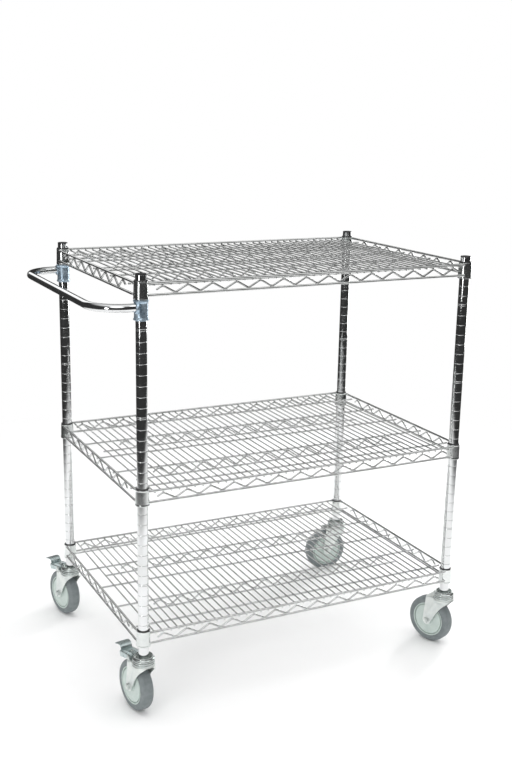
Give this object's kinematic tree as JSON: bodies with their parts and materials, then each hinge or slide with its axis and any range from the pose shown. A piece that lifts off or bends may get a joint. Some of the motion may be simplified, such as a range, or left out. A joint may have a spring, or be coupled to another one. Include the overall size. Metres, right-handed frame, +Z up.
{
  "type": "rolling utility cart",
  "caption": "Rolling utility cart with welded wire shelves on grooved posts, a push handle at one end, swivel casters and foot brakes.",
  "frame": {"origin": "on the floor, under the centre of the four posts", "axes": "+X along the length away from the handle, +Y to the back, +Z up; the front long side faces -Y"},
  "size_m": [1.02, 0.7197, 1.0775],
  "materials": {
    "chrome_post": "bright chrome plate",
    "chrome_wire": "chrome-plated welded wire",
    "cast_zinc": "die-cast zinc with a bluish plate",
    "zinc_steel": "zinc-plated pressed steel",
    "black_plastic": "moulded, satin",
    "grey_hub": "moulded nylon, pale grey-green",
    "grey_tyre": "non-marking grey rubber"
  },
  "bodies": {
    "frame": {"post_front_left": "chrome_post", "post_front_right": "chrome_post", "post_back_left": "chrome_post", "post_back_right": "chrome_post", "post_caps": "black_plastic", "handle_bar": "chrome_post", "handle_screws": "zinc_steel", "handle_bracket_front": "cast_zinc", "handle_bracket_back": "cast_zinc", "bottom_front_truss": "chrome_wire", "bottom_back_truss": "chrome_wire", "bottom_left_truss": "chrome_wire", "bottom_right_truss": "chrome_wire", "bottom_inner_trusses": "chrome_wire", "bottom_deck": "chrome_wire", "bottom_collars": "chrome_post", "bottom_sleeves": "black_plastic", "middle_front_truss": "chrome_wire", "middle_back_truss": "chrome_wire", "middle_left_truss": "chrome_wire", "middle_right_truss": "chrome_wire", "middle_inner_trusses": "chrome_wire", "middle_deck": "chrome_wire", "middle_collars": "chrome_post", "middle_sleeves": "black_plastic", "top_front_truss": "chrome_wire", "top_back_truss": "chrome_wire", "top_left_truss": "chrome_wire", "top_right_truss": "chrome_wire", "top_inner_trusses": "chrome_wire", "top_deck": "chrome_wire", "top_collars": "chrome_post", "top_sleeves": "black_plastic", "caster_front_left_stem": "zinc_steel", "caster_front_right_stem": "zinc_steel", "caster_back_left_stem": "zinc_steel", "caster_back_right_stem": "zinc_steel"},
    "swivel_front_left": {"caster_front_left_fork": "zinc_steel", "caster_front_left_axle": "zinc_steel", "brake_pin_front_left": "zinc_steel"},
    "wheel_front_left": {"caster_front_left_hub": "grey_hub", "caster_front_left_tyre": "grey_tyre"},
    "pedal_front_left": {"brake_pedal_front_left": "zinc_steel", "brake_shoe_front_left": "grey_tyre"},
    "swivel_front_right": {"caster_front_right_fork": "zinc_steel", "caster_front_right_axle": "zinc_steel"},
    "wheel_front_right": {"caster_front_right_hub": "grey_hub", "caster_front_right_tyre": "grey_tyre"},
    "swivel_back_left": {"caster_back_left_fork": "zinc_steel", "caster_back_left_axle": "zinc_steel", "brake_pin_back_left": "zinc_steel"},
    "wheel_back_left": {"caster_back_left_hub": "grey_hub", "caster_back_left_tyre": "grey_tyre"},
    "pedal_back_left": {"brake_pedal_back_left": "zinc_steel", "brake_shoe_back_left": "grey_tyre"},
    "swivel_back_right": {"caster_back_right_fork": "zinc_steel", "caster_back_right_axle": "zinc_steel"},
    "wheel_back_right": {"caster_back_right_hub": "grey_hub", "caster_back_right_tyre": "grey_tyre"}
  },
  "joints": [
    {"name": "swivel_front_left_turn", "type": "hinge", "parent": "frame", "child": "swivel_front_left", "pos_m": [-0.439, -0.29, 0.146], "axis": [0, 0, 1], "continuous": true},
    {"name": "wheel_front_left_roll", "type": "hinge", "parent": "swivel_front_left", "child": "wheel_front_left", "pos_m": [-0.44479, -0.25346, 0.0635], "axis": [-0.9877, -0.1564, 0], "continuous": true},
    {"name": "pedal_front_left_press", "type": "hinge", "parent": "swivel_front_left", "child": "pedal_front_left", "pos_m": [-0.44494, -0.25247, 0.139], "axis": [-0.9877, -0.1564, 0], "range_deg": [0, 8]},
    {"name": "swivel_front_right_turn", "type": "hinge", "parent": "frame", "child": "swivel_front_right", "pos_m": [0.439, -0.29, 0.146], "axis": [0, 0, 1], "continuous": true},
    {"name": "wheel_front_right_roll", "type": "hinge", "parent": "swivel_front_right", "child": "wheel_front_right", "pos_m": [0.42634, -0.25523, 0.0635], "axis": [-0.9397, -0.342, 0], "continuous": true},
    {"name": "swivel_back_left_turn", "type": "hinge", "parent": "frame", "child": "swivel_back_left", "pos_m": [-0.439, 0.29, 0.146], "axis": [0, 0, 1], "continuous": true},
    {"name": "wheel_back_left_roll", "type": "hinge", "parent": "swivel_back_left", "child": "wheel_back_left", "pos_m": [-0.44732, 0.32605, 0.0635], "axis": [-0.9744, -0.225, 0], "continuous": true},
    {"name": "pedal_back_left_press", "type": "hinge", "parent": "swivel_back_left", "child": "pedal_back_left", "pos_m": [-0.44755, 0.32703, 0.139], "axis": [-0.9744, -0.225, 0], "range_deg": [0, 8]},
    {"name": "swivel_back_right_turn", "type": "hinge", "parent": "frame", "child": "swivel_back_right", "pos_m": [0.439, 0.29, 0.146], "axis": [0, 0, 1], "continuous": true},
    {"name": "wheel_back_right_roll", "type": "hinge", "parent": "swivel_back_right", "child": "wheel_back_right", "pos_m": [0.4022, 0.29387, 0.0635], "axis": [-0.1045, -0.9945, 0], "continuous": true}
  ]
}
